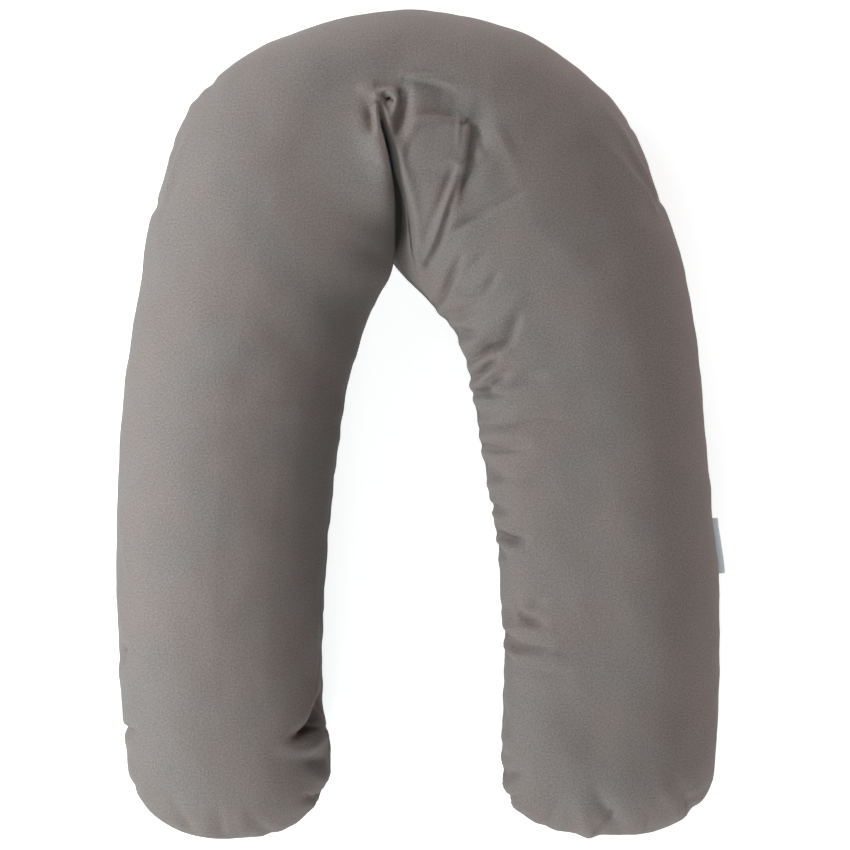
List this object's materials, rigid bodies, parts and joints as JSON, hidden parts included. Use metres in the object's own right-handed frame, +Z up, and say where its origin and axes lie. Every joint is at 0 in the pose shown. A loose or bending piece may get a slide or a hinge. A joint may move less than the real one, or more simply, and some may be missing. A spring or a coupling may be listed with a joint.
{
  "type": "body pillow",
  "caption": "Stuffed horseshoe body pillow with two long round-ended legs and its inner edge folded into a crease under the arch, with a blank side label.",
  "frame": {"origin": "centre of the bounding box, on the surface that the pillow lies on", "axes": "+Z up from the surface, +Y from the leg ends towards the top of the arch, +X towards the leg with the label"},
  "size_m": [0.559, 0.7579, 0.1671],
  "materials": {
    "cover": "matt taupe cotton, finely woven, with a faint sheen",
    "ribbon": "pale woven ribbon, plain"
  },
  "bodies": {
    "root": {"pillow": "cover", "label": "ribbon"}
  },
  "joints": []
}
